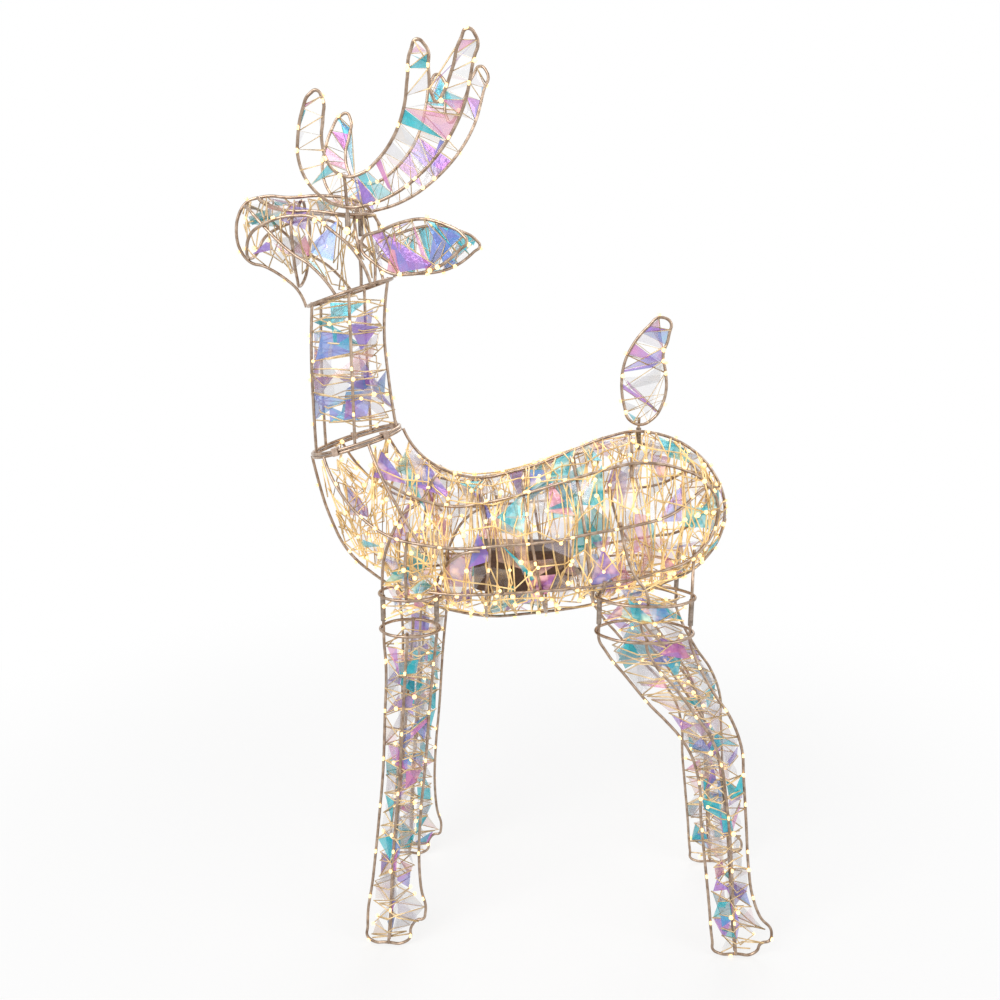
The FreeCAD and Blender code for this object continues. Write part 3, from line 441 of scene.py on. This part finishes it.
class Beads(Collector):
    """Small round lights on the leads, as one mesh."""

    ROWS = 4
    SIDES = 8
    RADIUS = 0.0030
    SMALLEST = 0.0022
    LARGEST = 0.0034

    def add(self, middle, radius):
        """Add a ball round a middle."""
        first = len(self.points)
        self.points.append(middle + np.array([0, 0, -radius]))
        for row in range(1, self.ROWS):
            rise = -math.pi / 2 + math.pi * row / self.ROWS
            for step in range(self.SIDES):
                turn = 2 * math.pi * step / self.SIDES
                self.points.append(middle + radius * np.array([
                    math.cos(rise) * math.cos(turn), math.cos(rise) * math.sin(turn), math.sin(rise)]))
        self.points.append(middle + np.array([0, 0, radius]))
        last = len(self.points) - 1
        for step in range(self.SIDES):
            after = (step + 1) % self.SIDES
            self.faces.append((first, first + 1 + after, first + 1 + step))
            for row in range(self.ROWS - 2):
                low = first + 1 + row * self.SIDES
                high = low + self.SIDES
                self.faces.append((low + step, low + after, high + after, high + step))
            top = last - self.SIDES
            self.faces.append((top + step, top + after, last))

    def build(self, name, body):
        return placed(self.smooth_mesh(name), name, body, bead_light)


def placed(mesh, name, body, material):
    """The piece of a mesh, with its material and slot, riding a body."""
    piece = bpy.data.objects.new(name, mesh)
    bpy.context.collection.objects.link(piece)
    mesh.materials.append(material)
    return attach(piece, body)


def shard_tint(colourful):
    """Tint and opacity of a shard: strong teal, violet or pink, or nearly clear."""
    if chance.random() < colourful:
        return chance.choice(STRONG_TINTS), chance.uniform(*STRONG_BODY)
    return chance.choice(PALE_TINTS), chance.uniform(*PALE_BODY)


def shard(patches, corners, colourful, out):
    """One shard between leads, slightly buckled: most are nearly triangles."""
    middle = sum(corners) / 4
    shrink = chance.uniform(*SHRINK)
    corners = [middle + (corner - middle) * shrink for corner in corners]
    blunt = chance.randrange(4)
    if chance.random() < BLUNT_SHARE:
        beside = corners[(blunt + 1) % 4]
        corners[blunt] = beside + (corners[blunt] - beside) * chance.uniform(*BLUNT_SIDE)
    tint, body = shard_tint(colourful)
    patches.facet(corners, tint, out * chance.uniform(-BUCKLE, BUCKLE), body)


def webbing(patches, path, outs, per_turn, share, colourful, free=None):
    """Shards of film between the neighbouring turns of a wound lead; free says where few lie."""
    for first in range(len(path) - per_turn - 1):
        odds = share * (BOX_SHARE if free and free(path[first]) else 1.0)
        if chance.random() > odds:
            continue
        corners = [path[first], path[first + 1], path[first + per_turn + 1], path[first + per_turn]]
        wide = max(np.linalg.norm(corners[0] - corners[3]), np.linalg.norm(corners[1] - corners[2]))
        if wide < WIDEST_SHARD:
            out = outs[first]
            shard(patches, [corner - out * LEAD_RADIUS for corner in corners], colourful, out)


def wound_path(grid, pitch_rows, per_turn, start, backwards):
    """The points and outward ways of a lead wound round a skin from rail to rail."""
    rows = len(grid) - 1
    turns = max(1.0, rows / pitch_rows)
    steps = int(turns * per_turn)
    wander = pitch_rows * STRAY_ROWS
    way = -1 if backwards else 1
    path = []
    outs = []
    for step in range(steps + 1):
        share = step / steps
        row = rows * share + chance.uniform(-wander, wander)
        turn = start + way * turns * AROUND * share + chance.uniform(-STRAY_STEPS, STRAY_STEPS)
        point, out = place_on(grid, row, turn)
        path.append(point + out * WOUND_LIFT)
        outs.append(out)
    return path, outs


def string_beads(beads, path, outs, every):
    """Light beads along a lead, one every so many metres."""
    since = chance.uniform(0, every)
    for number in range(1, len(path)):
        since += np.linalg.norm(path[number] - path[number - 1])
        if since > every:
            since = 0.0
            beads.add(path[number] + outs[number] * BEAD_LIFT, chance.uniform(beads.SMALLEST, beads.LARGEST))


def lengthwise(leads, beads, grid, turns, every):
    """Leads that run along a skin at given steps round it, wavering between the rails."""
    for turn in turns:
        path = []
        outs = []
        for row in range(LANE_MARGIN, len(grid) - LANE_MARGIN, LANE_ROWS):
            point, out = place_on(grid, row + chance.uniform(-1, 1), turn + chance.gauss(0, LANE_STRAY))
            path.append(point + out * LANE_LIFT)
            outs.append(out)
        leads.run(path)
        string_beads(beads, path, outs, every)


def dress(name, body, grid, pitch, strands, per_turn, share, colourful, bead_every, material,
          free=None, lanes=(), lead_look=lead_painted_glow):
    """Film, leads and beads round one part of the cage.

    pitch: metres between two turns of the first lead; strands: how many leads are wound;
    per_turn: corners in a turn; share: share of the gaps that hold film;
    colourful: share of strongly coloured shards; bead_every: metres of lead between two beads.
    """
    patches, leads, beads = Patchwork(), Leads(), Beads()
    lengthwise(leads, beads, grid, lanes, bead_every * LANE_BEADS)
    for strand in range(strands):
        path, outs = wound_path(grid, pitch * (1 + STRAND_GROWTH * strand) / SLICE, per_turn,
                                AROUND * strand / strands, strand % 2 == 1)
        leads.run(path)
        string_beads(beads, path, outs, bead_every)
        webbing(patches, path, outs, per_turn, share, colourful, free)
    patches.build(name + "_film", body, material)
    leads.build(name + "_leads", body, lead_look)
    if beads.points:
        beads.build(name + "_beads", body)


def loop_middles(node):
    """The middle line of a closed wire as points in order round it."""
    low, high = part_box(node)
    found = []
    for axis in (0, 2):
        for level in np.arange(low[axis] + LOOP_MARGIN, high[axis] - LOOP_MARGIN, LOOP_SPACING):
            found.extend(wire_middles([node], axis, level))
    loose = np.array(found)
    order = [0]
    left = np.ones(len(loose), bool)
    left[0] = False
    while left.any():
        apart = np.linalg.norm(loose - loose[order[-1]], axis=1)
        apart[~left] = np.inf
        nearest = int(apart.argmin())
        left[apart < SAME_POINT] = False
        left[nearest] = False
        if apart[nearest] < LOOP_GAP:
            order.append(nearest)
    return loose[order]


def chords(points, step, widest):
    """Lines straight across a flat closed loop, one every step, as pairs of points, and its normal."""
    centre = points.mean(axis=0)
    flat_axes = np.linalg.svd(points - centre)[2]
    flat = (points - centre) @ flat_axes[:2].T
    count = len(flat)
    after = np.roll(flat, -1, axis=0)
    travelled = np.linalg.norm(after - flat, axis=1).cumsum()
    used = []
    found = []
    last = -step
    for number in range(count):
        if travelled[number] - last < step:
            continue
        here = flat[number]
        if any(np.linalg.norm(here - spot) < step * 0.7 for spot in used):
            continue
        way = flat[(number + 3) % count] - flat[number - 3]
        hit = None
        for normal in (np.array([-way[1], way[0]]), np.array([way[1], -way[0]])):
            normal = normal / (np.linalg.norm(normal) + TINY)
            edge = after - flat
            cross = normal[0] * edge[:, 1] - normal[1] * edge[:, 0]
            cross[abs(cross) < TINY] = TINY
            gap = flat - here
            distance = (gap[:, 0] * edge[:, 1] - gap[:, 1] * edge[:, 0]) / cross
            along = (gap[:, 0] * normal[1] - gap[:, 1] * normal[0]) / cross
            meets = np.flatnonzero((distance > THIN_LOOP) & (along >= 0) & (along <= 1))
            if len(meets) % 2 == 1:
                hit = int(meets[distance[meets].argmin()])
                if distance[hit] > widest:
                    hit = None
                break
        if hit is None:
            continue
        last = travelled[number]
        used.extend([here, flat[hit]])
        found.append((points[number], points[hit]))
    return found, flat_axes[2]


def dress_loop(name, body, node, step, widest, share):
    """Leads laced to and fro across a flat loop of wire, with shards of film between them.

    step: metres between two laces; widest: the longest lace; share: share of the gaps that hold film.
    """
    pairs, out = chords(loop_middles(node), step, widest)
    patches, leads, beads = Patchwork(), Leads(), Beads()
    run = []
    since = 0.0
    for number, (a, b) in enumerate(pairs):
        front = out * LACE_LIFT
        if run and np.linalg.norm(run[-1] - a) > widest * LACE_REACH:
            leads.run(run)
            run = []
        run.extend([a + front, b - front])
        if number and np.linalg.norm(pairs[number - 1][1] - a) < widest * LACE_REACH:
            before_a, before_b = pairs[number - 1]
            for corners in ([before_a, before_b, a, a], [before_b, a, b, b]):
                if chance.random() < share:
                    corners[3] = corners[2] + (corners[0] - corners[2]) * chance.uniform(*LACE_SIDE)
                    shard(patches, corners, LOOP_COLOURFUL, out)
        since += np.linalg.norm(b - a) + step
        if since > LOOP_BEAD_EVERY:
            since = 0.0
            end = chance.choice((a, b))
            face = chance.choice((-1, 1))
            beads.add(end + out * LOOP_BEAD_LIFT * face, beads.RADIUS)
    leads.run(run)
    patches.build(name + "_film", body, film_bright)
    leads.build(name + "_leads", body)
    if beads.points:
        beads.build(name + "_beads", body)


ABOVE_BOX = 0.02


def near_box(point):
    """True beside the control box, where the film is parted."""
    low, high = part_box("controller_base")
    return low.x < point[0] < high.x and low.z < point[2] < high.z + ABOVE_BOX


def bridged(lower, upper, low_z):
    """Rows between two sections, from just above a level up to the upper one."""
    height = upper[:, 2].mean() - lower[:, 2].mean()
    rows = []
    for level in np.arange(low_z, upper[:, 2].mean(), SLICE):
        part = (level - lower[:, 2].mean()) / height
        rows.append(lower * (1 - part) + upper * part)
    return np.array(rows)


LEG_FOOT = 0.008         # the leg's winding starts this far above the foot of its wires
LEG_TOP = 0.030          # and ends this far below their tops
SLEEVE_FOOT = 0.004      # the body's winding starts this far above the foot of the tubes
SHOULDER_LOW = 0.028     # the body's wires above a leg, from here above the leg's top
SHOULDER_FRONT = 0.080   # to here on a front leg
SHOULDER_HIND = 0.052    # and here on a hind leg


def dress_leg(name):
    """A leg's own windings, and those on the body round the tubes above it."""
    side = -1 if "left" in name else 1
    fore = "front" in name
    low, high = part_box(name + "_leg_loop")
    leg_grid = skin([name + "_leg_loop", name + "_leg_struts"], 2, low.z + LEG_FOOT, high.z - LEG_TOP)
    dress(name + "_leg", name + "_leg", leg_grid, pitch=0.024, strands=2, per_turn=6, share=0.55,
          colourful=0.36, bead_every=0.20, material=film_cool)
    carriers = ["leg_stubs", "shoulder_brace"] if fore else ["leg_stubs"]
    top = SHOULDER_FRONT if fore else SHOULDER_HIND
    top_grid = skin(carriers, 2, high.z + SHOULDER_LOW, high.z + top,
                    lambda point: point[1] * side > 0 and (point[0] < 0) == fore)
    if len(top_grid) > 2:
        sleeve_grid = bridged(leg_grid[-1], top_grid[0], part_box("leg_sleeves")[0].z + SLEEVE_FOOT)
        whole = np.concatenate([sleeve_grid, top_grid])
        dress(name + "_shoulder", "torso", whole, pitch=0.022, strands=2, per_turn=7, share=0.5,
              colourful=0.45, bead_every=0.12, material=film_warm_painted_glow, lead_look=lead_golden_painted_glow)


RUMP_DEPTH = 0.13        # how far the lacing reaches in front of the rump
RUMP_MARGIN = (0.020, 0.050)   # left bare below and above
RUMP_ROWS = 3            # rows of the skin between two laces
RUMP_SPOTS = range(-9, 10, 3)  # corners of a lace, in 36ths of a turn, 0 straight back
RUMP_FILM = 0.5
RUMP_COLOURFUL = 0.45
RUMP_BEAD_EVERY = 0.07


def lace_rump(cage):
    """Leads laced to and fro across the round end of the trunk, with film between them."""
    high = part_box("spine_belly_loop")[1]
    below, above = RUMP_MARGIN
    grid = skin(cage, 2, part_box("side_loop_left")[0].z + below, high.z - above,
                lambda point: point[0] > high.x - RUMP_DEPTH)
    patches, leads, beads = Patchwork(), Leads(), Beads()
    passes = []
    for row in range(0, len(grid) - 1, RUMP_ROWS):
        turns = [AROUND * (spot / 36 + chance.uniform(-0.008, 0.008)) for spot in RUMP_SPOTS]
        found = [place_on(grid, row + chance.uniform(-1.2, 1.2), turn) for turn in turns]
        passes.append([(point + out * RUMP_LIFT, out) for point, out in found])
    snake = []
    for number, spots in enumerate(passes):
        snake.extend(spots if number % 2 else spots[::-1])
    path, outs = zip(*snake)
    leads.run(path)
    string_beads(beads, path, outs, RUMP_BEAD_EVERY)
    for lower, upper in zip(passes, passes[1:]):
        for spot in range(len(lower) - 1):
            if chance.random() < RUMP_FILM:
                corners = [lower[spot][0], lower[spot + 1][0], upper[spot + 1][0], upper[spot][0]]
                shard(patches, corners, RUMP_COLOURFUL, lower[spot][1])
    patches.build("rump_film", "torso", film_warm_painted_glow)
    leads.build("rump_leads", "torso", lead_golden_painted_glow)
    beads.build("rump_beads", "torso")


CROWN_BESIDE = 0.005
CROWN_ABOVE = 0.004
CROWN_RADIUS = 0.0048


def light_crown():
    """One larger light beside the left antler's tube."""
    low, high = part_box("antler_sockets")
    crown = Beads()
    middle = (low.x + high.x) / 2
    crown.add(np.array([middle, low.y - CROWN_BESIDE, low.z + CROWN_ABOVE]), CROWN_RADIUS)
    crown.build("crown_light", "head")


# Left bare at the low and the high end of a skin, metres
TRUNK_BARE = (0.012, 0.008)
NECK_BARE = (0.035, 0.02)
HEAD_BARE = (0.010, 0.010)

THROAT_TOP = 0.905     # wires below this height are not wound with the head, metres


def dress_deer():
    """Every part of the cage gets its film and lights."""
    trunk = ["spine_belly_loop", "side_loop_left", "side_loop_right", "mid_hoop", "chest_rails"]
    low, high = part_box("spine_belly_loop")
    grid = skin(trunk, 0, low.x + TRUNK_BARE[0], high.x - TRUNK_BARE[1])
    lanes = [AROUND * (number + 0.5) / LANES + chance.uniform(-1, 1) for number in range(LANES)]
    dress("trunk", "torso", grid, pitch=0.026, strands=5, per_turn=12, share=0.36, colourful=0.36,
          bead_every=0.26, material=film_warm_painted_glow, free=near_box, lanes=lanes, lead_look=lead_golden_painted_glow)

    low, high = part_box("neck_rails")
    grid = skin(["neck_rails"], 2, low.z + NECK_BARE[0], high.z - NECK_BARE[1])
    dress("neck", "head", grid, pitch=0.026, strands=3, per_turn=7, share=0.40, colourful=0.55,
          bead_every=0.22, material=film_bright)

    low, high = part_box("head_profile")
    face = ["head_profile", "cheek_loop", "mouth_loop", "brow_wires"]
    grid = skin(face, 0, low.x + HEAD_BARE[0], high.x - HEAD_BARE[1],
                lambda point: point[2] > THROAT_TOP)
    dress("head", "head", grid, pitch=0.028, strands=3, per_turn=9, share=0.42, colourful=0.5,
          bead_every=0.25, material=film_bright)

    for name in LEGS:
        dress_leg(name)
    for name in ("left", "right"):
        dress_loop("ear_" + name, "head", "ear_" + name, step=0.020, widest=0.085, share=0.75)
        antler = "antler_" + name
        dress_loop(antler, antler, antler + "_outline", step=0.022, widest=0.062, share=0.62)
    dress_loop("tail", "tail", "tail_loop", step=0.020, widest=0.085, share=0.6)
    lace_rump(trunk)
    light_crown()


# Studio --------------------------------------------------------------------
WORLD_LIGHT = 0.55


def studio():
    """Pale floor, white surroundings and soft lamps."""
    world = bpy.data.worlds.new("studio")
    bpy.context.scene.world = world
    world.use_nodes = True
    tree = world.node_tree
    tree.nodes.clear()
    soft = tree.nodes.new("ShaderNodeBackground")
    soft.inputs["Strength"].default_value = WORLD_LIGHT
    white = tree.nodes.new("ShaderNodeBackground")
    white.inputs["Color"].default_value = (1, 1, 1, 1)
    mix = tree.nodes.new("ShaderNodeMixShader")
    rays = tree.nodes.new("ShaderNodeLightPath")
    output = tree.nodes.new("ShaderNodeOutputWorld")
    seen = white_rays(tree, rays)
    tree.links.new(seen, mix.inputs["Fac"])
    tree.links.new(soft.outputs[0], mix.inputs[1])
    tree.links.new(white.outputs[0], mix.inputs[2])
    tree.links.new(mix.outputs[0], output.inputs["Surface"])

    bpy.ops.mesh.primitive_plane_add(size=14)
    floor = bpy.context.object
    floor.name = "studio_floor"
    floor.data.materials.append(floor_material())

    lamp("key", (-1.6, -2.2, 2.6), (58, 0, -36), 2.2, 70)
    lamp("fill", (2.4, -1.6, 1.6), (66, 0, 56), 2.0, 26)
    lamp("rear", (0.6, 2.4, 2.4), (-52, 0, 12), 2.2, 34)


def white_rays(tree, rays):
    """1 for rays that come from the camera or by way of gloss or glass."""
    first = tree.nodes.new("ShaderNodeMath")
    first.operation = "MAXIMUM"
    second = tree.nodes.new("ShaderNodeMath")
    second.operation = "MAXIMUM"
    tree.links.new(rays.outputs["Is Camera Ray"], first.inputs[0])
    tree.links.new(rays.outputs["Is Glossy Ray"], first.inputs[1])
    tree.links.new(first.outputs[0], second.inputs[0])
    tree.links.new(rays.outputs["Is Transmission Ray"], second.inputs[1])
    return second.outputs[0]


def floor_material():
    """Pale matt floor: nearly white to the camera, with the shadow left in."""
    material = bpy.data.materials.new("pale_floor")
    material.use_nodes = True
    tree = material.node_tree
    base = tree.nodes["Principled BSDF"]
    cloud = tree.nodes.new("ShaderNodeTexNoise")
    cloud.inputs["Scale"].default_value = 3.0
    ramp = tree.nodes.new("ShaderNodeValToRGB")
    ramp.color_ramp.elements[0].color = (0.86, 0.86, 0.86, 1)
    ramp.color_ramp.elements[1].color = (0.90, 0.90, 0.90, 1)
    tree.links.new(cloud.outputs["Fac"], ramp.inputs["Fac"])
    tree.links.new(ramp.outputs["Color"], base.inputs["Base Color"])
    base.inputs["Roughness"].default_value = 0.9
    white = tree.nodes.new("ShaderNodeEmission")
    seen = white_rays(tree, tree.nodes.new("ShaderNodeLightPath"))
    place = tree.nodes.new("ShaderNodeTexCoord")
    away = tree.nodes.new("ShaderNodeVectorMath")
    away.operation = "LENGTH"
    tree.links.new(place.outputs["Object"], away.inputs[0])
    fade = tree.nodes.new("ShaderNodeMapRange")
    fade.interpolation_type = "SMOOTHSTEP"
    fade.inputs["From Min"].default_value = FADE_START
    fade.inputs["From Max"].default_value = FADE_END
    fade.inputs["To Min"].default_value = FLOOR_WHITE
    tree.links.new(away.outputs["Value"], fade.inputs["Value"])
    share = tree.nodes.new("ShaderNodeMath")
    share.operation = "MULTIPLY"
    tree.links.new(seen, share.inputs[0])
    tree.links.new(fade.outputs["Result"], share.inputs[1])
    mix = tree.nodes.new("ShaderNodeMixShader")
    tree.links.new(share.outputs[0], mix.inputs["Fac"])
    tree.links.new(base.outputs[0], mix.inputs[1])
    tree.links.new(white.outputs[0], mix.inputs[2])
    tree.links.new(mix.outputs[0], tree.nodes["Material Output"].inputs["Surface"])
    return material


def lamp(name, place, turn, size, power):
    """A square lamp: metres, degrees and watts."""
    data = bpy.data.lights.new(name, "AREA")
    data.size = size
    data.energy = power
    made = bpy.data.objects.new(name, data)
    made.location = place
    made.rotation_euler = Euler([math.radians(angle) for angle in turn])
    bpy.context.collection.objects.link(made)


CAMERA_PLACE = (0.037, -1.2385, 0.945)
CAMERA_TURN = 2.72        # degrees round the deer
CAMERA_DROP = 14.1        # degrees below level
CAMERA_LENS = 33.5


def camera():
    """The photo's view of the deer."""
    data = bpy.data.cameras.new("camera")
    data.lens = CAMERA_LENS
    data.sensor_width = 36.0
    made = bpy.data.objects.new("camera", data)
    made.location = CAMERA_PLACE
    made.rotation_euler = Euler((math.radians(90 - CAMERA_DROP), 0, math.radians(CAMERA_TURN)))
    bpy.context.collection.objects.link(made)
    bpy.context.scene.camera = made


paint_cad_nodes()
dress_deer()
studio()
camera()
bpy.context.scene.view_settings.view_transform = "Standard"
